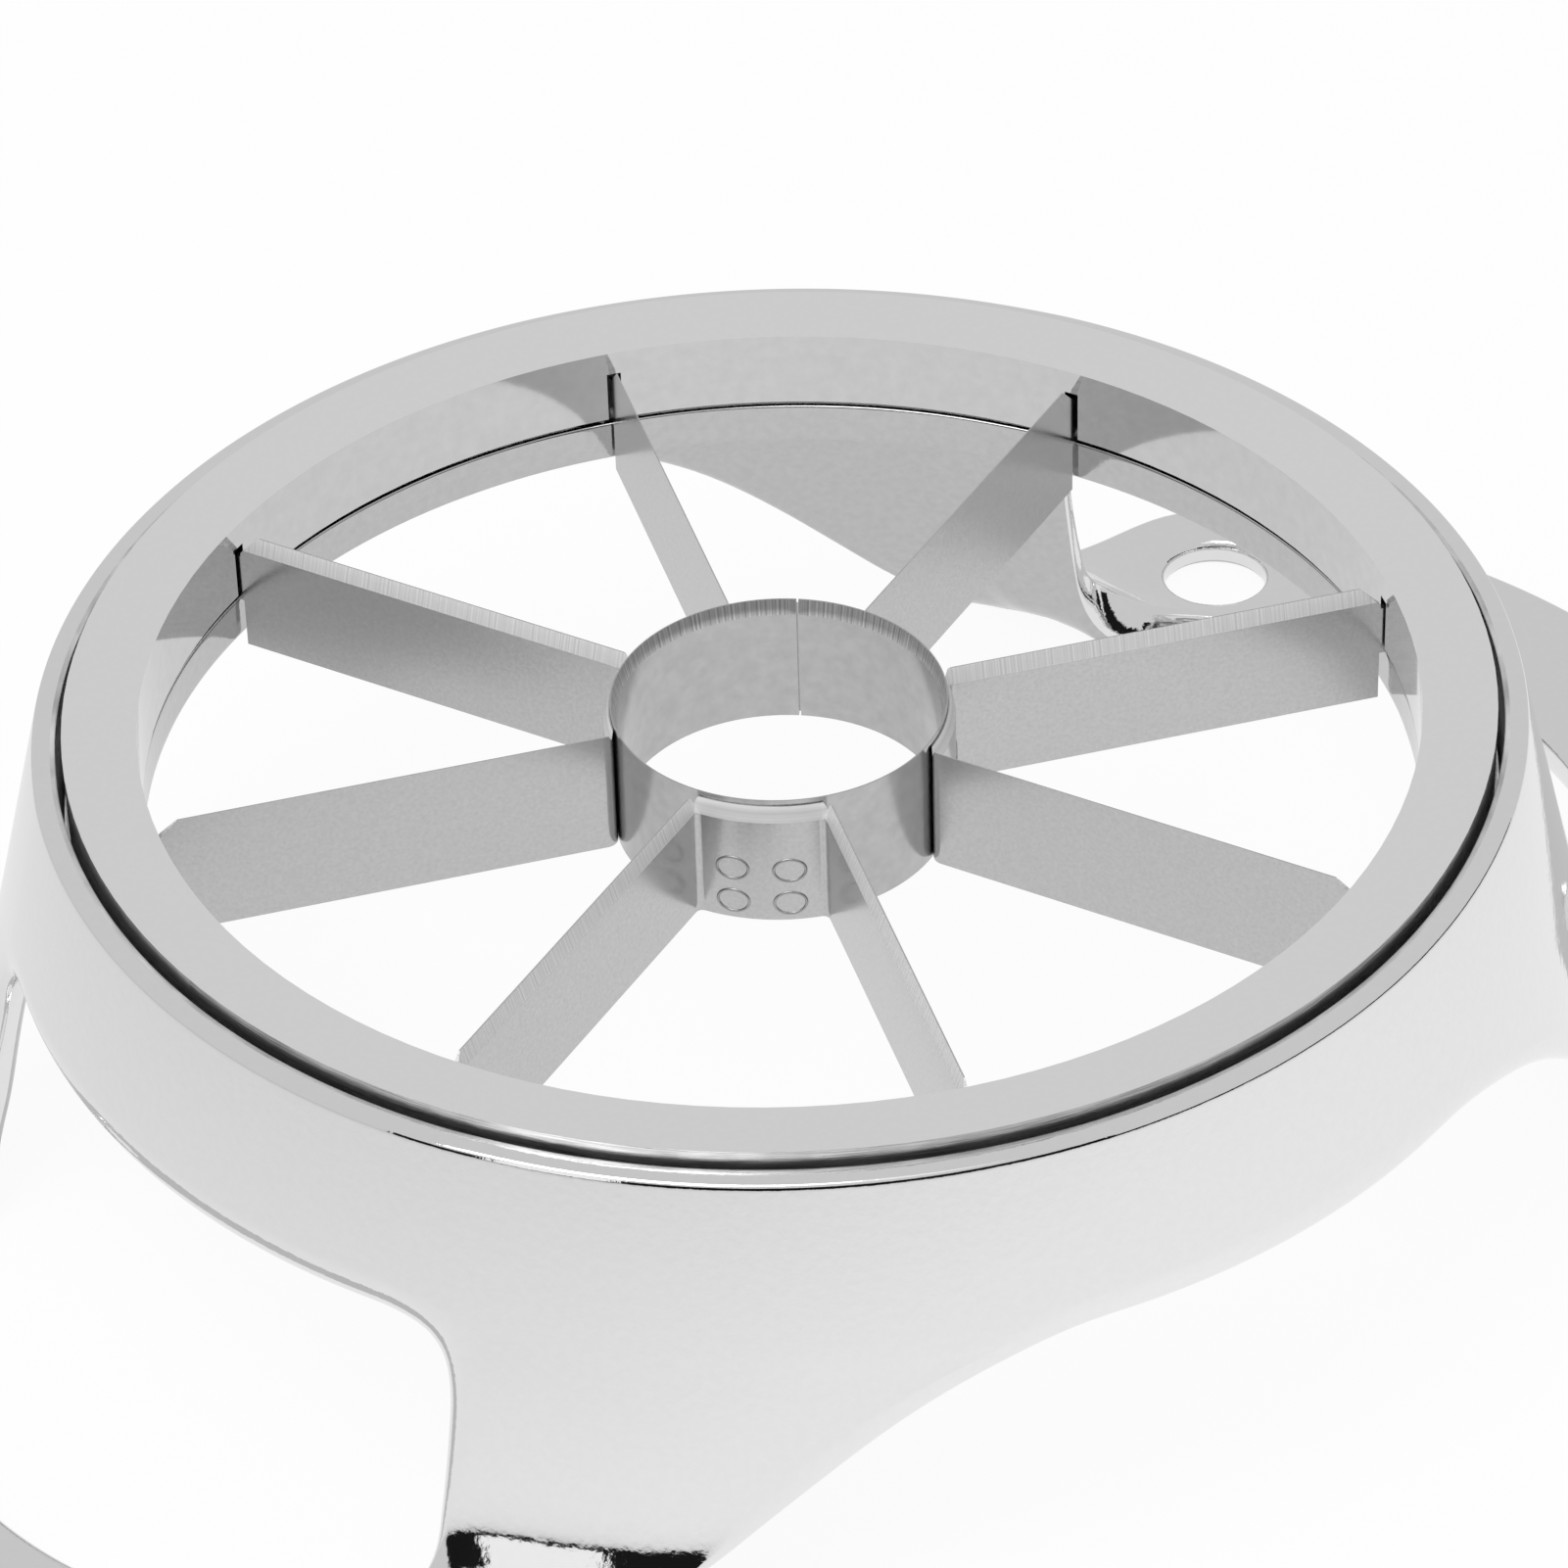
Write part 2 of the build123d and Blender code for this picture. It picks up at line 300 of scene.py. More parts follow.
def angle_of(place: Vector) -> float:
    """Gives the angle of a place from +X, seen from above."""
    return math.atan2(place.y, place.x)


def resample(points: list[Vector], fractions: list[float]) -> list[Vector]:
    """Places points along a polyline.

    Args:
        points: The polyline.
        fractions: Shares of its length, from 0 to 1.

    Returns:
        One point for each share.
    """
    lengths = [0.0]
    for a, b in zip(points, points[1:]):
        lengths.append(lengths[-1] + (b - a).length)
    placed = []
    for fraction in fractions:
        wanted = fraction * lengths[-1]
        k = 0
        while k < len(points) - 2 and lengths[k + 1] < wanted:
            k += 1
        span = lengths[k + 1] - lengths[k]
        share = (wanted - lengths[k]) / span if span else 0.0
        placed.append(points[k].lerp(points[k + 1], min(max(share, 0.0), 1.0)))
    return placed


# ---- frame casting --------------------------------------------------------


@dataclass
class Skirt:
    """Section of the casting's wall: a cone that turns into the flat plates.

    A place on it is the run s along the outer skin from the rim's outer edge.
    """

    rim_r: float = 53.35
    rim_z: float = 37.6
    flare: float = math.radians(13.5)
    wall: float = 2.5
    foot_round: float = 8.0
    under_round: float = 3.0

    def __post_init__(self) -> None:
        """Works out where the cone, the round and the plate meet."""
        self.turn = math.pi / 2 - self.flare
        tangent = self.foot_round * math.tan(self.turn / 2)
        drop = self.rim_z - self.wall
        self.cone_run = drop / math.cos(self.flare) - tangent
        self.round_run = self.cone_run + self.foot_round * self.turn
        self.centre_r = self.rim_r + drop * math.tan(self.flare) + tangent
        self.centre_z = self.wall + self.foot_round

    def outer(self, s: float) -> tuple[float, float, float, float]:
        """Gives radius, height and normal of the outer skin at a run.

        Args:
            s: Run along the outer skin.

        Returns:
            Radius, height, and the normal's radial and upward parts.
        """
        if s <= self.cone_run:
            out, up = math.cos(self.flare), math.sin(self.flare)
            return self.rim_r + s * up, self.rim_z - s * out, out, up
        if s >= self.round_run:
            return self.centre_r + s - self.round_run, self.wall, 0.0, 1.0
        tilt = self.turn - (s - self.cone_run) / self.foot_round
        out, up = math.sin(tilt), math.cos(tilt)
        return (
            self.centre_r - self.foot_round * out,
            self.centre_z - self.foot_round * up,
            out,
            up,
        )

    def inner(self, s: float) -> tuple[float, float]:
        """Gives radius and height of the inner skin opposite a run.

        Args:
            s: Run along the outer skin.

        Returns:
            Radius and height.
        """
        r, z, out, up = self.outer(s)
        if s <= self.cone_run or s >= self.round_run:
            return r - self.wall * out, z - self.wall * up
        tilt = math.atan2(out, up)
        off = abs(tilt - self.turn / 2)
        depth = self.foot_round + self.wall
        middle = (depth - self.under_round) / math.cos(self.turn / 2)
        side = middle * math.sin(off)
        reach = depth / math.cos(self.turn / 2 - off)
        if side < self.under_round:
            bend = middle * math.cos(off) + math.sqrt(self.under_round**2 - side**2)
            reach = min(reach, bend)
        return self.centre_r - reach * out, self.centre_z - reach * up

    def run_at_radius(self, r: float) -> float:
        """Gives the run at which the outer skin has a radius."""
        if r >= self.centre_r:
            return self.round_run + r - self.centre_r
        if r > self.outer(self.cone_run)[0]:
            tilt = math.asin((self.centre_r - r) / self.foot_round)
            return self.cone_run + self.foot_round * (self.turn - tilt)
        return (r - self.rim_r) / math.sin(self.flare)

    def run_at_height(self, z: float) -> float:
        """Gives the run at which the cone has a height."""
        return (self.rim_z - z) / math.cos(self.flare)

    def height(self, r: float) -> float:
        """Gives the height of the outer skin at a radius."""
        return self.outer(self.run_at_radius(r))[1]

    def nearest_run(self, r: float, z: float) -> float:
        """Gives the run of the outer skin nearest to a point of the section."""
        tilt = math.atan2(self.centre_r - r, self.centre_z - z)
        if tilt >= self.turn:
            out, up = math.cos(self.flare), math.sin(self.flare)
            return (self.rim_z - z) * out + (r - self.rim_r) * up
        if r >= self.centre_r:
            return self.round_run + r - self.centre_r
        return self.cone_run + self.foot_round * (self.turn - tilt)


@dataclass
class FrameCasting:
    """The die casting: ring seat, band, four arms and two loop handles."""

    skirt: Skirt = field(default_factory=Skirt)
    arm_skirt: Skirt = field(default_factory=lambda: Skirt(foot_round=12.5))
    swell_from: float = math.radians(25.0)
    swell_full: float = math.radians(31.0)
    seat_r: float = 51.65
    ledge_top: float = 31.5
    ledge_bottom: float = 28.3
    ledge_bore_r: float = 46.0
    band_bottom: float = 24.1
    window_angle: float = math.radians(28.05)
    window_corner: float = 4.5
    gap_angle: float = math.radians(72.0)
    arm_edge: tuple[tuple[float, float], ...] = (
        (66.0, 22.5),
        (60.5, 20.3),
        (55.0, 16.5),
        (50.0, 12.3),
        (47.0, 9.1),
    )
    handle_reach: float = 85.183
    handle_end_r: float = 54.0
    handle_half_width: float = 37.5
    handle_side_start: float = 59.983
    handle_corner: float = 6.0
    loop_centre: float = 38.483
    loop_r: float = 33.0
    hole_place: tuple[float, float] = (66.583, 28.0)
    hole_r: float = 4.0
    hole_reach: float = 9.0
    hole_margin: float = 1.0
    edge_run: float = 0.9
    edge_drop: float = 0.35
    soft_from: float = 9.0
    soft_full: float = 17.0
    rim_edge: float = 0.6
    seat_edge: float = 0.35
    seat_fine: float = 0.25
    cone_shares: tuple[float, ...] = (1.0, 0.5, 0.12)
    pick_margin: float = 0.3
    pick_rise: float = 0.1
    corner_share: float = 0.999
    outer_lead: float = 0.06
    line_steps: int = 60
    curve_steps: int = 20
    window_cells: int = 24
    gap_cells: int = 8
    across_cells: int = 8
    half_cells: int = 22
    band_rows: int = 2
    levels: int = 2

    def loop_radius(self, angle: float) -> float:
        """Gives how far the loop's inner edge is from the axis at an angle."""
        side = self.loop_centre * math.sin(angle)
        return self.loop_centre * math.cos(angle) + math.sqrt(self.loop_r**2 - side**2)

    def on_skin(self, angle: float, s: float) -> Vector:
        """Gives the point of the outer skin at an angle and a run."""
        r, z, _, _ = self.skirt.outer(s)
        return Vector((r * math.cos(angle), r * math.sin(angle), z))

    def under_skin(self, angle: float, s: float) -> Vector:
        """Gives the point of the inner skin at an angle and a run."""
        r, z = self.skirt.inner(s)
        return Vector((r * math.cos(angle), r * math.sin(angle), z))

    def run_of(self, place: Vector) -> float:
        """Gives the run of the outer skin nearest to a place."""
        return self.skirt.nearest_run(math.hypot(place.x, place.y), place.z)

    def swell(self, angle: float, r: float) -> float:
        """Gives how much the arm's wider foot round lifts it over the plate's."""
        folded = abs(math.atan2(math.sin(angle), abs(math.cos(angle))))
        share = eased((folded - self.swell_from) / (self.swell_full - self.swell_from))
        return share * (self.arm_skirt.height(r) - self.skirt.height(r))

    def inner_boundary(self) -> list[Vector]:
        """Gives angle and run along the window's side and the loop, to the X axis."""
        steps = self.line_steps
        top = self.skirt.run_at_height(self.band_bottom)
        foot = self.skirt.run_at_radius(self.loop_radius(self.window_angle))
        line = [
            Vector((self.window_angle, top + (foot - top) * k / steps)) for k in range(steps)
        ]
        for k in range(steps + 1):
            angle = self.window_angle * (1 - k / steps)
            line.append(Vector((angle, self.skirt.run_at_radius(self.loop_radius(angle)))))
        return line

    def outer_boundary(self) -> list[Vector]:
        """Gives angle and run along the arm's edge and the plate, to the X axis."""
        band_r = self.skirt.outer(self.skirt.run_at_height(self.band_bottom))[0]
        knots = [toward(self.gap_angle) * band_r]
        for degrees, height in self.arm_edge:
            radius = self.skirt.outer(self.skirt.run_at_height(height))[0]
            knots.append(toward(math.radians(degrees)) * radius)
        knots.append(Vector((self.handle_side_start, self.handle_half_width)))
        along_band = Vector((knots[0].y, -knots[0].x)).normalized()
        slopes = [along_band * (knots[1] - knots[0]).length]
        for before, after in zip(knots, knots[2:]):
            slopes.append((after - before) / 2)
        slopes.append(Vector((1.0, 0.0)) * (knots[-1] - knots[-2]).length)
        plan = []
        steps = self.curve_steps
        for a, b, p, q in zip(knots, knots[1:], slopes, slopes[1:]):
            for k in range(steps):
                t = k / steps
                plan.append(
                    a * (2 * t**3 - 3 * t**2 + 1)
                    + p * (t**3 - 2 * t**2 + t)
                    + b * (3 * t**2 - 2 * t**3)
                    + q * (t**3 - t**2)
                )
        end_centre = Vector((self.handle_reach - self.handle_end_r, 0.0))
        swing = self.handle_end_r - self.handle_corner
        rise = self.handle_half_width - self.handle_corner
        corner = end_centre + Vector((math.sqrt(swing**2 - rise**2), rise))
        plan.append(knots[-1])
        stop = math.asin(rise / swing)
        for k in range(steps + 1):
            angle = math.pi / 2 + (stop - math.pi / 2) * k / steps
            plan.append(corner + toward(angle) * self.handle_corner)
        for k in range(1, 2 * steps + 1):
            angle = stop * (1 - k / (2 * steps))
            plan.append(end_centre + toward(angle) * self.handle_end_r)
        return [Vector((angle_of(p), self.skirt.run_at_radius(p.length))) for p in plan]

    def spaced(self, line: list[Vector], shares: list[float]) -> list[Vector]:
        """Spaces places of angle and run by their real distance on the skin.

        Args:
            line: Places of angle and run.
            shares: Shares of the line's length.

        Returns:
            The spaced places of angle and run.
        """
        solid = [self.on_skin(p.x, p.y) for p in line]
        return [Vector((angle_of(p), self.run_of(p))) for p in resample(solid, shares)]

    def add_handle(self, bm: bmesh.types.BMesh, turned: bool) -> None:
        """Adds the outer skin of two arms and the plate between them.

        Args:
            bm: The bmesh that takes it.
            turned: Whether it is the handle at -X.
        """
        half = self.half_cells
        even = [k / half for k in range(half + 1)]
        ahead = [share + self.outer_lead * math.sin(math.pi * share) ** 2 for share in even]
        inside = self.spaced(self.inner_boundary(), even)
        outside = self.spaced(self.outer_boundary(), ahead)
        base = math.pi if turned else 0.0

        def place(column: int, row: int) -> Vector:
            mirrored = column > half
            k = 2 * half - column if mirrored else column
            spot = inside[k].lerp(outside[k], row / self.across_cells)
            angle = -spot.x if mirrored else spot.x
            return self.on_skin(base + angle, spot.y)

        grid = grid_of(bm, 2 * half, self.across_cells, place)
        for side in (1, -1):
            self.open_hole(bm, grid, side, turned)

    def open_hole(
        self,
        bm: bmesh.types.BMesh,
        grid: dict[tuple[int, int], bmesh.types.BMVert],
        side: int,
        turned: bool,
    ) -> None:
        """Draws the grid round one of the plate's holes and opens it.

        Args:
            bm: The bmesh that holds the grid.
            grid: Vertices of one handle by column and row.
            side: 1 for the hole at +Y before a turn, -1 for the other.
            turned: Whether the handle is the one at -X.
        """
        flip = -1.0 if turned else 1.0
        hole_x, hole_y = self.hole_place
        centre = Vector((flip * hole_x, flip * side * hole_y, self.skirt.wall))
        inside = [key for key in grid if 2 < key[1] < self.across_cells - 2]
        column, row = min(inside, key=lambda key: (grid[key].co - centre).length)
        middle = grid[column, row].co.copy()
        shift = centre - middle
        reach = self.hole_reach
        for (_, j), vert in grid.items():
            if 0 < j < self.across_cells:
                away = (vert.co - middle).length
                if away < reach:
                    vert.co += shift * (1 - (away / reach) ** 2) ** 2
        long_way = (grid[column + 1, row].co - grid[column - 1, row].co).normalized()
        cross_way = (grid[column, row + 2].co - grid[column, row - 2].co).normalized()
        cross_way = (cross_way - long_way * cross_way.dot(long_way)).normalized()
        rim = [(i, -2) for i in (-1, 0, 1)] + [(1, j) for j in (-1, 0, 1, 2)]
        rim += [(0, 2), (-1, 2)] + [(-1, j) for j in (1, 0, -1)]
        first = rim.index((1, 0))
        # Subdivision draws a loop in to this share of its size.
        spread = 2.0 / 3.0 + math.cos(2 * math.pi / len(rim)) / 3.0
        for k, (i, j) in enumerate(rim):
            angle = 2 * math.pi * (k - first) / len(rim)
            arm = long_way * math.cos(angle) + cross_way * math.sin(angle)
            grid[column + i, row + j].co = centre + arm * self.hole_r / spread
        gone = [grid[column, row + j] for j in (-1, 0, 1)]
        bmesh.ops.delete(bm, geom=gone, context="VERTS")
        for j in (-1, 0, 1):
            del grid[column, row + j]

    def column_angles(self) -> list[float]:
        """Gives the angles of the band's columns, once round from the first window."""
        window, gap = self.window_angle, self.gap_angle
        spans = [
            (-window, window, self.window_cells),
            (window, gap, self.across_cells),
            (gap, math.pi - gap, self.gap_cells),
            (math.pi - gap, math.pi - window, self.across_cells),
        ]
        half = [a + (b - a) * k / n for a, b, n in spans for k in range(n)]
        return half + [angle + math.pi for angle in half] + [half[0] + 2 * math.pi]

    def round_window_corners(self, bm: bmesh.types.BMesh) -> None:
        """Draws the four upper window corners to their radius."""
        top = self.skirt.run_at_height(self.band_bottom)
        band_r = self.skirt.outer(top)[0]
        radius = self.window_corner
        for vert in bm.verts:
            if not vert.is_boundary:
                continue
            angle = angle_of(vert.co)
            folded = math.atan2(math.sin(angle), abs(math.cos(angle)))
            across = (self.window_angle - abs(folded)) * band_r
            down = self.run_of(vert.co) - top
            if not (-NEAR < across < radius and -NEAR < down < radius):
                continue
            if max(across, down) > radius * self.corner_share or min(across, down) > NEAR:
                continue
            if across < NEAR and down < NEAR:
                across = down = radius * (1 - math.sqrt(0.5))
            elif down < NEAR:
                down = radius - math.sqrt(radius**2 - (radius - across) ** 2)
            else:
                across = radius - math.sqrt(radius**2 - (radius - down) ** 2)
            moved = self.window_angle - across / band_r
            moved = math.copysign(moved, folded)
            if math.cos(angle) < 0:
                moved = math.pi - moved
            vert.co = self.on_skin(moved, top + down)

    def seat_path(self) -> list[tuple[float, float]]:
        """Gives radius and height up the cone, over the rim and round the ledge."""
        start = self.start_run()
        edge, fine = self.seat_edge, self.seat_fine
        cone = [self.skirt.outer(start * share)[:2] for share in self.cone_shares]
        near = self.skirt.outer(self.rim_edge)[:2]
        rim_r, rim_z = self.skirt.rim_r, self.skirt.rim_z
        seat, bore = self.seat_r, self.ledge_bore_r
        top, bottom = self.ledge_top, self.ledge_bottom
        inner_r = self.skirt.inner(start)[0]
        return cone + [
            near,
            (rim_r, rim_z),
            (rim_r - self.rim_edge, rim_z),
            (seat + edge, rim_z),
            (seat, rim_z),
            (seat, rim_z - fine),
            (seat, (rim_z + top) / 2),
            (seat, top + fine),
            (seat, top),
            (seat - fine, top),
            ((seat + bore) / 2, top),
            (bore + edge, top),
            (bore, top),
            (bore, top - edge),
            (bore, bottom + edge),
            (bore, bottom),
            (bore + edge, bottom),
            ((inner_r + bore) / 2, bottom),
            (inner_r - edge, bottom),
            (inner_r, bottom),
        ]

    def start_run(self) -> float:
        """Gives the run opposite which the inner skin meets the ledge."""
        height = self.ledge_bottom + self.skirt.wall * math.sin(self.skirt.flare)
        return self.skirt.run_at_height(height)

    def mesh(self) -> bmesh.types.BMesh:
        """Builds the casting.

        Returns:
            The closed mesh, before subdivision.
        """
        bm = bmesh.new()
        angles = self.column_angles()
        start, top = self.start_run(), self.skirt.run_at_height(self.band_bottom)
        rows = self.band_rows

        def band(column: int, row: int) -> Vector:
            return self.on_skin(angles[column], start + (top - start) * row / rows)

        grid_of(bm, len(angles) - 1, rows, band)
        for turned in (False, True):
            self.add_handle(bm, turned)
        bmesh.ops.remove_doubles(bm, verts=bm.verts, dist=SEAM_DISTANCE)
        self.round_window_corners(bm)
        bmesh.ops.inset_region(
            bm,
            faces=bm.faces[:],
            thickness=self.edge_run,
            depth=0.0,
            use_boundary=True,
            use_even_offset=True,
        )
        self.widen_edges(bm)
        runs = {}
        for vert in bm.verts:
            runs[vert] = self.run_of(vert.co)
            vert.co = self.on_skin(angle_of(vert.co), runs[vert])
        made = bmesh.ops.extrude_face_region(bm, geom=bm.faces[:], use_keep_orig=True)
        under = [item for item in made["geom"] if isinstance(item, bmesh.types.BMVert)]
        for vert in under:
            runs[vert] = self.run_of(vert.co)
            vert.co = self.under_skin(angle_of(vert.co), runs[vert])
        below = set(under)
        self.soften_edges(bm, runs, below)
        for vert, s in runs.items():
            vert.co.z += self.swell(angle_of(vert.co), self.skirt.outer(s)[0])
        # The inner skin takes the darker material, which paints in the shade inside the
        # casting.
        for face in bm.faces:
            if all(v in below for v in face.verts):
                face.material_index = INSIDE_SHADE_SLOT
        lid = [
            face
            for face in bm.faces
            if all(abs(runs[v] - start) < NEAR for v in face.verts)
            and 0 < sum(v in below for v in face.verts) < len(face.verts)
        ]
        bmesh.ops.delete(bm, geom=lid, context="FACES")
        path = self.seat_path()

        def seat(column: int, row: int) -> Vector:
            r, z = path[row]
            return Vector((r * math.cos(angles[column]), r * math.sin(angles[column]), z))

        grid_of(bm, len(angles) - 1, len(path) - 1, seat)
        bmesh.ops.remove_doubles(bm, verts=bm.verts, dist=SEAM_DISTANCE)
        bmesh.ops.recalc_face_normals(bm, faces=bm.faces)
        for face in bm.faces:
            middle = face.calc_center_median()
            off_seat = abs(middle.xy.length - self.seat_r)
            if off_seat < self.pick_margin and middle.z > self.ledge_top + self.pick_rise:
                face.material_index = SEAT_SLOT
            # The ledge bore under the ring takes the same darker material, painted shade.
            if middle.xy.length < self.ledge_bore_r + self.pick_margin:
                face.material_index = INSIDE_SHADE_SLOT
        return bm

    def at_hole(self, place: Vector) -> bool:
        """Tells whether a place is at the edge of one of the plates' holes."""
        across = abs(place.x) - self.hole_place[0]
        along = abs(place.y) - self.hole_place[1]
        return math.hypot(across, along) < self.hole_r + self.hole_margin

    def softness(self, z: float) -> float:
        """Gives how soft the edges are at a height: 0 on the plates, 1 on the arms."""
        return eased((z - self.soft_from) / (self.soft_full - self.soft_from))

    def widen_edges(self, bm: bmesh.types.BMesh) -> None:
        """Moves the loop beside each edge further in where the edges are soft.

        Args:
            bm: The bmesh of the outer skin, whose boundary has one loop beside it.
        """
        for vert in [v for v in bm.verts if v.is_boundary]:
            spokes = [edge for edge in vert.link_edges if not edge.is_boundary]
            if len(spokes) == 1:
                beside = spokes[0].other_vert(vert)
                beside.co += (beside.co - vert.co) * self.softness(vert.co.z)

    def soften_edges(
        self,
        bm: bmesh.types.BMesh,
        runs: dict[bmesh.types.BMVert, float],
        below: set[bmesh.types.BMVert],
    ) -> None:
        """Draws the corners of both skins a little towards each other.

        Args:
            bm: The bmesh with both skins and the walls between them.
            runs: Run of each vertex.
            below: Vertices of the inner skin.
        """
        start = self.start_run()
        corners = set()
        for edge in bm.edges:
            one, other = edge.verts
            if (one in below) != (other in below):
                corners.update(edge.verts)
        for vert in corners:
            if runs[vert] < start + NEAR:
                continue
            _, _, out, up = self.skirt.outer(runs[vert])
            angle = angle_of(vert.co)
            normal = Vector((out * math.cos(angle), out * math.sin(angle), up))
            drop = self.edge_drop * self.softness(vert.co.z)
            if self.at_hole(vert.co):
                drop = self.edge_drop
            vert.co += normal * (drop if vert in below else -drop)

    def build(self) -> bpy.types.Object:
        """Builds and dresses the casting.

        Returns:
            The piece.
        """
        bm = self.mesh()
        open_edges = sum(not edge.is_manifold for edge in bm.edges)
        LOG.info("casting: %d faces, %d open edges", len(bm.faces), open_edges)
        finishes = [f.material() for f in (CASTING_CHROME, SEAT_WALL, CASTING_INSIDE_SHADE)]
        piece = object_of(bm, "casting", finishes)
        smooth = piece.modifiers.new("smooth", "SUBSURF")
        smooth.levels = smooth.render_levels = self.levels
        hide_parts("frame_casting")
        return piece


# ---- pieces that keep their CAD shape -------------------------------------

SLANT_RANGE = (0.12, 0.9)  # upward part of the normal of a ground edge
RING_SPLIT_R = 50.5  # between the ring's bore side and its outer wall
OUTER_WALL_LEAN = 0.2
INNER_WALL_LEAN = 0.6


def is_slanted(face: bmesh.types.BMFace) -> bool:
    """Tells whether a face is part of a slanted, ground edge."""
    low, high = SLANT_RANGE
    return low < face.normal.z < high


def is_outer_wall(face: bmesh.types.BMFace) -> bool:
    """Tells whether a face is on the blade ring's outer wall."""
    radius = face.calc_center_median().xy.length
    return radius > RING_SPLIT_R * MM and abs(face.normal.z) < OUTER_WALL_LEAN


def is_inner_wall(face: bmesh.types.BMFace) -> bool:
    """Tells whether a face is on the blade ring's bore or in a slot."""
    radius = face.calc_center_median().xy.length
    return radius < RING_SPLIT_R * MM and abs(face.normal.z) < INNER_WALL_LEAN


@dataclass
class SheetPiece:
    """A CAD node shown as it is, merged and with crisp edges."""

    node: str
    slot: str
    finish: MetalFinish
    worked: tuple[tuple[MetalFinish, Callable[[bmesh.types.BMFace], bool]], ...]
    crisp: float = math.radians(28.0)

    def build(self, source: bpy.types.Object) -> bpy.types.Object:
        """Copies the node and dresses the copy.

        Args:
            source: The CAD node's object.

        Returns:
            The piece.
        """
        bm = bmesh.new()
        bm.from_mesh(source.data)
        bmesh.ops.remove_doubles(bm, verts=bm.verts, dist=WELD_DISTANCE * MM)
        for edge in bm.edges:
            if len(edge.link_faces) == 2 and edge.calc_face_angle() > self.crisp:
                edge.smooth = False
        for face in bm.faces:
            face.smooth = True
            face.material_index = 0
            for k, (_, is_worked) in enumerate(self.worked):
                if is_worked(face):
                    face.material_index = k + 1
        mesh = mesh_of(bm, self.node + "_sheet")
        mesh.materials.append(self.finish.material())
        for finish, _ in self.worked:
            mesh.materials.append(finish.material())
        piece = linked(self.node + "_sheet", mesh)
        keep = piece.modifiers.new("even_normals", "WEIGHTED_NORMAL")
        keep.keep_sharp = True
        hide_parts(self.node)
        return piece


# ---- spot welds -----------------------------------------------------------


@dataclass
class SpotWelds:
    """Four shallow weld rings on the web of each strip."""

    web_r: float = 12.62
    web_top: float = 37.3
    rows: tuple[float, float] = (5.4, 8.3)
    spacing: float = 4.1
    long_r: float = 1.15
    tall_r: float = 0.95
    bead: float = 0.11
    flatten: float = 0.7
    around: int = 28
    section: int = 8

    def build(self, degrees: float, name: str) -> bpy.types.Object:
        """Builds the welds of the strip that stands at an angle.

        Args:
            degrees: Angle of the web's middle from +X.
            name: Name of the piece.

        Returns:
            The piece.
        """
        bm = bmesh.new()
        for down in self.rows:
            for side in (-0.5, 0.5):
                self.add_ring(bm, side * self.spacing, self.web_top - down)
        turn = Matrix.Rotation(math.radians(degrees), 4, "Z")
        bmesh.ops.transform(bm, matrix=turn, verts=bm.verts)
        bmesh.ops.recalc_face_normals(bm, faces=bm.faces)
        piece = object_of(bm, name, [WELD_STEEL.material()])
        return piece

    def add_ring(self, bm: bmesh.types.BMesh, across: float, height: float) -> None:
        """Adds one ring, bent round the web.

        Args:
            bm: The bmesh that takes it.
            across: Its middle, along the web.
            height: Its middle, over the resting plane.
        """
        circle = bmesh.ops.create_circle(bm, segments=self.section, radius=self.bead)
        verts = circle["verts"]
        edges = list({edge for vert in verts for edge in vert.link_edges})
        bmesh.ops.rotate(
            bm, verts=verts, cent=(0, 0, 0), matrix=Matrix.Rotation(math.pi / 2, 3, "X")
        )
        bmesh.ops.translate(bm, verts=verts, vec=(1.0, 0.0, 0.0))
        known = set(bm.verts) - set(verts)
        bmesh.ops.spin(
            bm,
            geom=verts + edges,
            cent=(0, 0, 0),
            axis=(0, 0, 1),
            angle=2 * math.pi,
            steps=self.around,
            use_merge=True,
        )
        for vert in set(bm.verts) - known:
            radial = math.hypot(vert.co.x, vert.co.y) - 1.0
            angle = angle_of(vert.co)
            u = across + (self.long_r + radial) * math.cos(angle)
            v = height + (self.tall_r + radial) * math.sin(angle)
            r = self.web_r + vert.co.z * self.flatten
            vert.co = (r * math.cos(u / self.web_r), r * math.sin(u / self.web_r), v)


# ---- studio ---------------------------------------------------------------


@dataclass(frozen=True)
class Screen:
    """A card that stands round the slicer and that only metal mirrors.

    Attributes:
        name: Name of the card.
        low: Height of its lower edge in metres.
        high: Height of its upper edge in metres.
        first: Angle of its first end from +X in degrees.
        last: Angle of its last end.
        glow: Its brightness, where 1 is white.
        radius: Its distance from the axis in metres.
        segments: Facets that a full turn would have.
    """

    name: str
    low: float
    high: float
    first: float
    last: float
    glow: float
    radius: float = 0.45
    segments: int = 180

    def build(self) -> None:
        """Stands the card up."""
        bm = bmesh.new()
        bmesh.ops.create_cone(
            bm,
            cap_ends=False,
            segments=self.segments,
            radius1=self.radius,
            radius2=self.radius,
            depth=self.high - self.low,
        )
        bmesh.ops.translate(bm, verts=bm.verts, vec=(0.0, 0.0, (self.low + self.high) / 2))
        outside = []
        for face in bm.faces:
            angle = math.degrees(angle_of(face.calc_center_median()))
            if not self.first < angle < self.last:
                outside.append(face)
        bmesh.ops.delete(bm, geom=outside, context="FACES")
        mirrored_only(bm, self.name, self.glow)


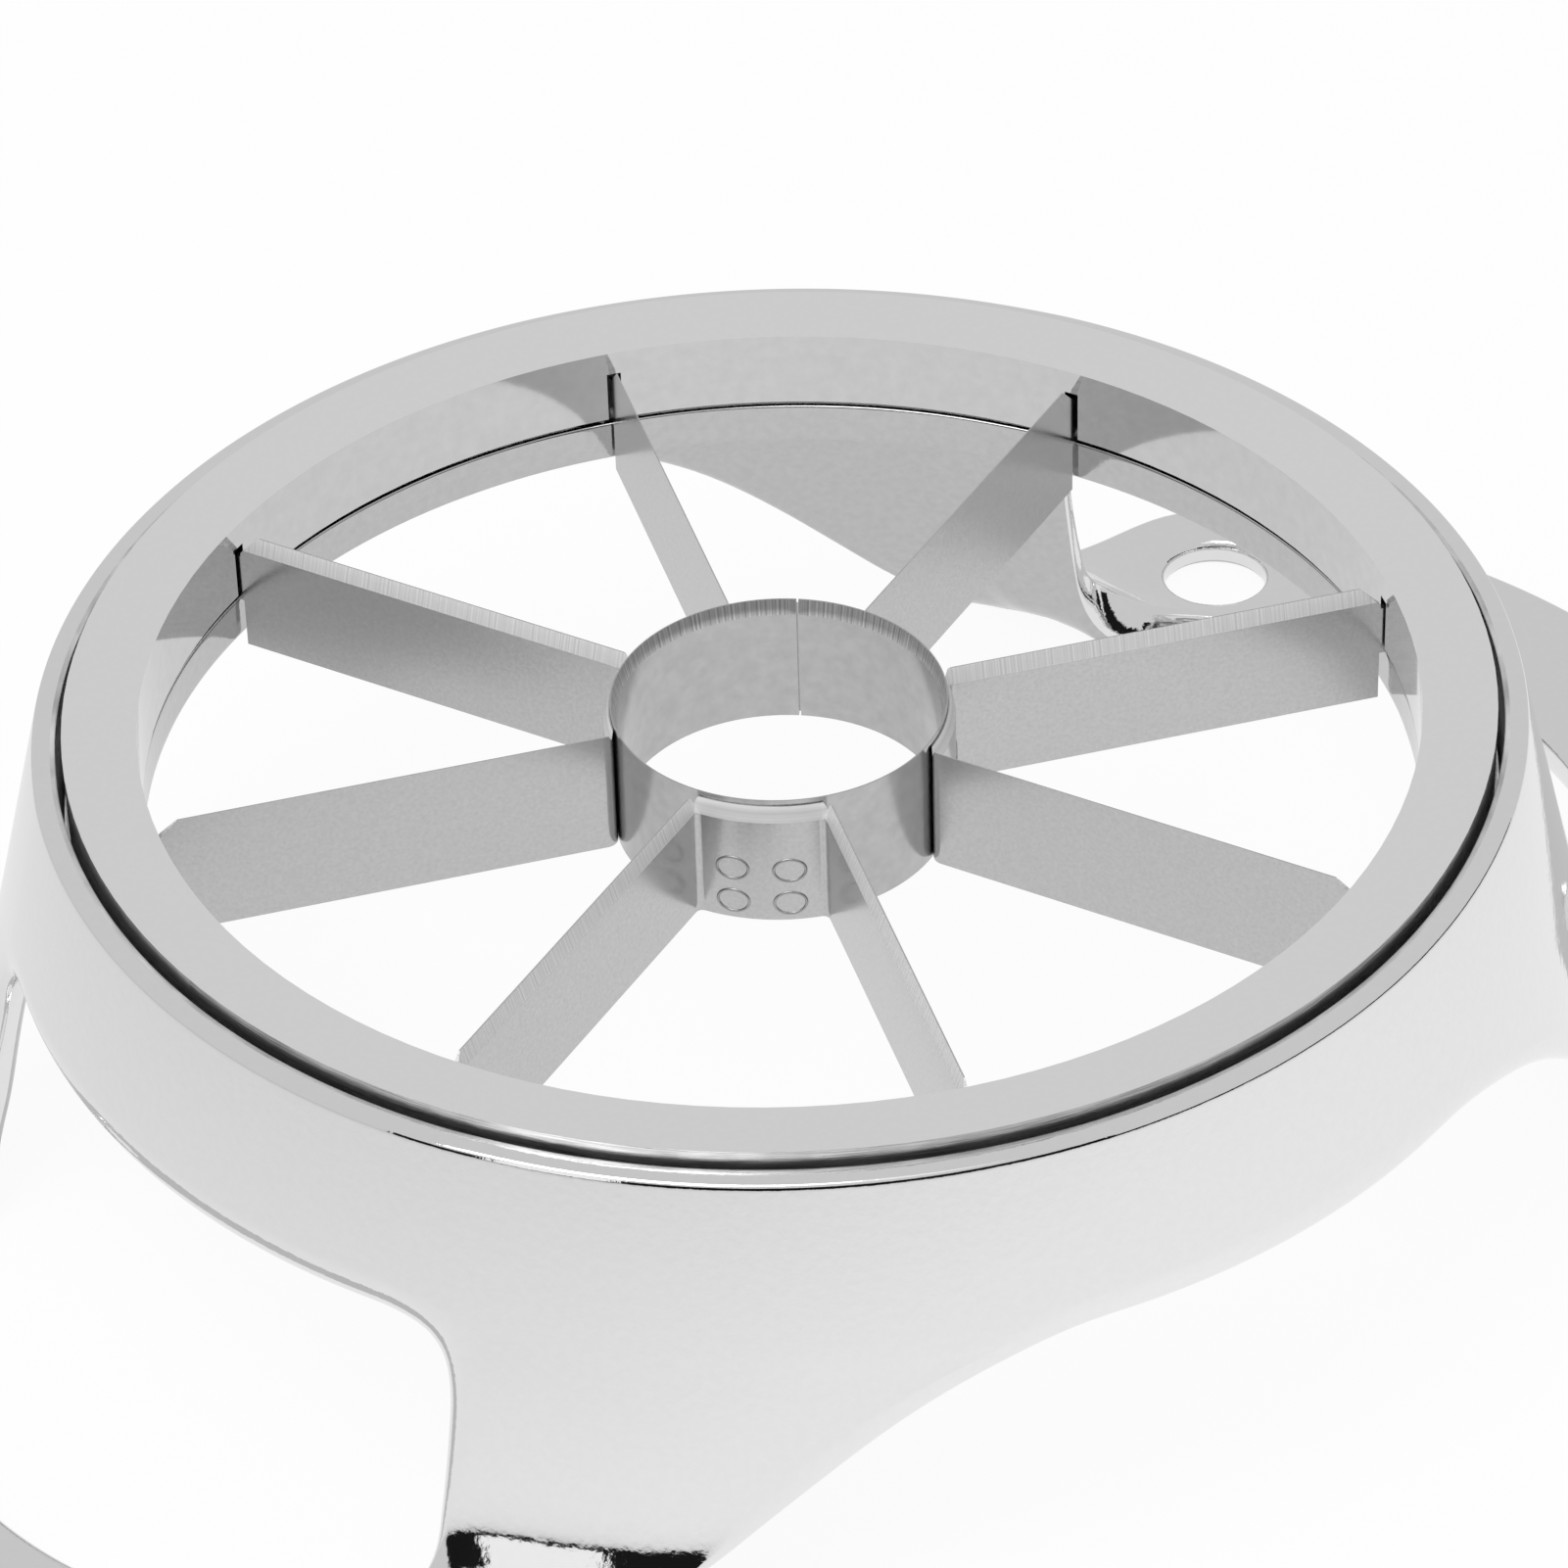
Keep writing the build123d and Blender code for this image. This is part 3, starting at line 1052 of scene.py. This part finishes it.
def mirrored_only(bm: bmesh.types.BMesh, name: str, glow: float) -> None:
    """Makes a stage card that only glossy rays meet.

    Args:
        bm: Its mesh in metres, which is freed.
        name: Name of the card.
        glow: Its brightness, where 1 is white.
    """
    mesh = mesh_of(bm, name)
    cloth = bpy.data.materials.new(name + "_cloth")
    cloth.use_nodes = True
    nodes, links = cloth.node_tree.nodes, cloth.node_tree.links
    light = nodes.new("ShaderNodeEmission")
    light.inputs["Strength"].default_value = glow
    links.new(light.outputs["Emission"], nodes["Material Output"].inputs["Surface"])
    mesh.materials.append(cloth)
    made = linked(name, mesh)
    made.visible_camera = False
    made.visible_diffuse = False
    made.visible_shadow = False
    made.visible_transmission = False


SCREENS = (
    Screen("low_surround", 0.0, 0.016, -181.0, -10.0, 0.01),
    Screen("dark_left", 0.016, 0.16, -181.0, -166.0, 0.01),
    Screen("white_card", 0.016, 0.30, -166.0, -150.0, 1.0),
    Screen("dark_front", 0.016, 0.16, -150.0, -85.0, 0.01),
    Screen("dark_right", 0.016, 0.08, -85.0, -10.0, 0.01),
)


@dataclass
class Studio:
    """Floor, lamp, world and camera, in metres, with lens and sensor in millimetres."""

    floor_size: float = 3.0
    floor_paint: float = 0.9
    floor_roughness: float = 0.9
    floor_seen: float = 0.93
    floor_reach: float = 0.3
    floor_middle: tuple[float, float, float] = (0.0, -0.08, 0.0)
    # Painted shading of the floor as mirrors see it: tone by distance from floor_middle,
    # bright there and darker outwards, a painted pool of light.
    floor_mirror_shading: tuple[tuple[float, float], ...] = (
        (0.0, 1.0),
        (0.09, 0.93),
        (0.18, 0.80),
        (0.29, 0.62),
    )
    world_tone: float = 0.68
    card_size: float = 0.6
    card_place: tuple[float, float, float] = (-0.3, -0.4, 0.9)
    elevation: float = math.radians(37.37)
    heading: float = math.radians(-37.5)
    distance: float = 0.5
    aim: tuple[float, float] = (0.00018, -0.01054)
    aim_height: float = 0.038
    roll: float = math.radians(-1.78)
    lens: float = 163.6
    sensor: float = 36.0
    clip_start: float = 0.01
    lamp_place: tuple[float, float, float] = (-0.4, -0.15, 0.75)
    lamp_aim: tuple[float, float, float] = (0.0, 0.0, 0.02)
    lamp_size: float = 0.5
    lamp_power: float = 3.0

    def camera(self) -> None:
        """Sets up the camera, in front of the slicer and above it."""
        data = bpy.data.cameras.new("camera")
        data.sensor_fit = "HORIZONTAL"
        data.sensor_width = self.sensor
        data.lens = self.lens
        data.clip_start = self.clip_start
        made = linked("camera", data)
        lift = math.sin(self.elevation)
        back = math.cos(self.elevation)
        aim_x, aim_y = self.aim
        place = Vector((aim_x, aim_y - self.distance * back, self.distance * lift))
        ahead = Vector((0.0, back, -lift))
        right = Vector((1.0, 0.0, 0.0))
        up = right.cross(ahead)
        across = right * math.cos(self.roll) + up * math.sin(self.roll)
        upward = up * math.cos(self.roll) - right * math.sin(self.roll)
        pose = Matrix((across, upward, -ahead)).transposed().to_4x4()
        pose.translation = place
        turn = Matrix.Rotation(self.heading, 4, "Z")
        made.matrix_world = Matrix.Translation((0, 0, self.aim_height)) @ turn @ pose
        bpy.context.scene.camera = made

    def floor(self) -> None:
        """Lays the pale floor, which keeps the slicer's shadow."""
        bm = bmesh.new()
        bmesh.ops.create_grid(bm, x_segments=1, y_segments=1, size=self.floor_size / 2)
        mesh = mesh_of(bm, "floor")
        paint = bpy.data.materials.new("floor_paint")
        paint.use_nodes = True
        nodes, links = paint.node_tree.nodes, paint.node_tree.links
        shader = nodes["Principled BSDF"]
        shader.inputs["Base Color"].default_value = grey(self.floor_paint)
        shader.inputs["Roughness"].default_value = self.floor_roughness
        shader.inputs["Specular IOR Level"].default_value = 0.0
        white = nodes.new("ShaderNodeEmission")
        links.new(self.floor_glow(nodes, links), white.inputs["Strength"])
        mix = nodes.new("ShaderNodeMixShader")
        share = self.white_share(nodes, links, self.floor_seen, 1.0)
        links.new(share, mix.inputs["Fac"])
        links.new(shader.outputs["BSDF"], mix.inputs[1])
        links.new(white.outputs["Emission"], mix.inputs[2])
        links.new(mix.outputs["Shader"], nodes["Material Output"].inputs["Surface"])
        mesh.materials.append(paint)
        made = linked("floor", mesh)

    def floor_glow(
        self, nodes: bpy.types.Nodes, links: bpy.types.NodeLinks
    ) -> bpy.types.NodeSocket:
        """Adds the floor's brightness: white, but shaded outwards in mirrors.

        Args:
            nodes: Nodes of the tree.
            links: Links of the tree.

        Returns:
            The socket that holds the brightness.
        """
        place = nodes.new("ShaderNodeTexCoord")
        radius = math_node(nodes, "DISTANCE", "ShaderNodeVectorMath")
        links.new(place.outputs["Object"], radius.inputs[0])
        radius.inputs[1].default_value = self.floor_middle
        share = math_node(nodes, "DIVIDE")
        share.inputs[1].default_value = self.floor_reach
        links.new(radius.outputs["Value"], share.inputs[0])
        tones = nodes.new("ShaderNodeValToRGB")
        tones.color_ramp.elements.remove(tones.color_ramp.elements[1])
        for k, (where, tone) in enumerate(self.floor_mirror_shading):
            if k:
                stop = tones.color_ramp.elements.new(where / self.floor_reach)
            else:
                stop = tones.color_ramp.elements[0]
            stop.color = grey(tone)
        links.new(share.outputs[0], tones.inputs["Fac"])
        less = math_node(nodes, "SUBTRACT")
        less.inputs[1].default_value = 1.0
        links.new(tones.outputs["Color"], less.inputs[0])
        path = nodes.new("ShaderNodeLightPath")
        glow = math_node(nodes, "MULTIPLY_ADD")
        links.new(path.outputs["Is Glossy Ray"], glow.inputs[0])
        links.new(less.outputs[0], glow.inputs[1])
        glow.inputs[2].default_value = 1.0
        return glow.outputs[0]

    @staticmethod
    def white_share(
        nodes: bpy.types.Nodes, links: bpy.types.NodeLinks, seen: float, mirrored: float
    ) -> bpy.types.NodeSocket:
        """Adds the share of plain white, by the kind of ray.

        Args:
            nodes: Nodes of the tree.
            links: Links of the tree.
            seen: Share for camera and transmission rays.
            mirrored: Share for glossy rays.

        Returns:
            The socket that holds the share.
        """
        path = nodes.new("ShaderNodeLightPath")
        result = None
        kinds = (
            ("Is Camera Ray", seen),
            ("Is Transmission Ray", seen),
            ("Is Glossy Ray", mirrored),
        )
        for kind, amount in kinds:
            part = math_node(nodes, "MULTIPLY")
            part.inputs[1].default_value = amount
            links.new(path.outputs[kind], part.inputs[0])
            if result is None:
                result = part.outputs[0]
                continue
            most = math_node(nodes, "MAXIMUM")
            links.new(result, most.inputs[0])
            links.new(part.outputs[0], most.inputs[1])
            result = most.outputs[0]
        return result

    def world(self) -> None:
        """Sets a pale world, white where it is looked at."""
        world = bpy.data.worlds.new("studio")
        bpy.context.scene.world = world
        world.use_nodes = True
        nodes, links = world.node_tree.nodes, world.node_tree.links
        background = nodes["Background"]
        background.inputs["Color"].default_value = grey(self.world_tone)
        white = nodes.new("ShaderNodeBackground")
        white.inputs["Color"].default_value = grey(1.0)
        mix = nodes.new("ShaderNodeMixShader")
        links.new(self.white_share(nodes, links, 1.0, 0.0), mix.inputs["Fac"])
        links.new(background.outputs["Background"], mix.inputs[1])
        links.new(white.outputs["Background"], mix.inputs[2])
        links.new(mix.outputs["Shader"], nodes["World Output"].inputs["Surface"])

    def lamp(self) -> None:
        """Hangs one soft square lamp that looks at the slicer."""
        data = bpy.data.lights.new("key_lamp", "AREA")
        data.size = self.lamp_size
        data.energy = self.lamp_power
        made = linked("key_lamp", data)
        place = Vector(self.lamp_place)
        aim = (Vector(self.lamp_aim) - place).to_track_quat("-Z", "Y")
        made.matrix_world = Matrix.Translation(place) @ aim.to_matrix().to_4x4()

    def build(self) -> None:
        """Builds the whole studio."""
        bpy.context.scene.view_settings.view_transform = "Standard"
        self.floor()
        self.world()
        self.camera()
        for screen in SCREENS:
            screen.build()
        bm = bmesh.new()
        bmesh.ops.create_grid(bm, x_segments=1, y_segments=1, size=self.card_size / 2)
        bmesh.ops.translate(bm, verts=bm.verts, vec=self.card_place)
        mirrored_only(bm, "ceiling_card", 1.0)
        self.lamp()


# ---- the slicer -----------------------------------------------------------


@dataclass
class AppleSlicer:
    """Puts the pieces together round the CAD nodes."""

    strips: int = 4

    def build(self, nodes: dict[str, bpy.types.Object]) -> list[bpy.types.Object]:
        """Builds every piece.

        Args:
            nodes: The CAD nodes by name.

        Returns:
            The pieces.
        """
        pieces = [FrameCasting().build()]
        walls = ((RING_WALL, is_outer_wall), (RING_BORE, is_inner_wall))
        sheets = [
            SheetPiece("blade_ring", "ring_chrome", RING_CHROME, walls),
            SheetPiece("core_tube", "core_steel", CORE_STEEL, ((CORE_EDGE, is_slanted),)),
        ]
        ground = ((BLADE_EDGE, is_slanted),)
        for k in range(self.strips):
            name = f"blade_strip_{k + 1}"
            sheets.append(SheetPiece(name, "blade_steel", BLADE_STEEL, ground))
        for sheet in sheets:
            pieces.append(sheet.build(nodes[sheet.node]))
        for k in range(self.strips):
            angle = 360.0 / self.strips * (k + 0.5)
            pieces.append(SpotWelds().build(angle, f"spot_welds_{k + 1}"))
        for piece in pieces:
            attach(piece, "root")
            LOG.info("%s: %d faces", piece.name, len(piece.data.polygons))
        return pieces


def main() -> None:
    """Loads the frame, dresses the slicer and lights it."""
    logging.basicConfig(level=logging.INFO, format="%(name)s: %(message)s")
    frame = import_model()
    AppleSlicer().build(frame["nodes"])
    Studio().build()
    bpy.context.view_layer.update()


if __name__ == "__main__":
    main()
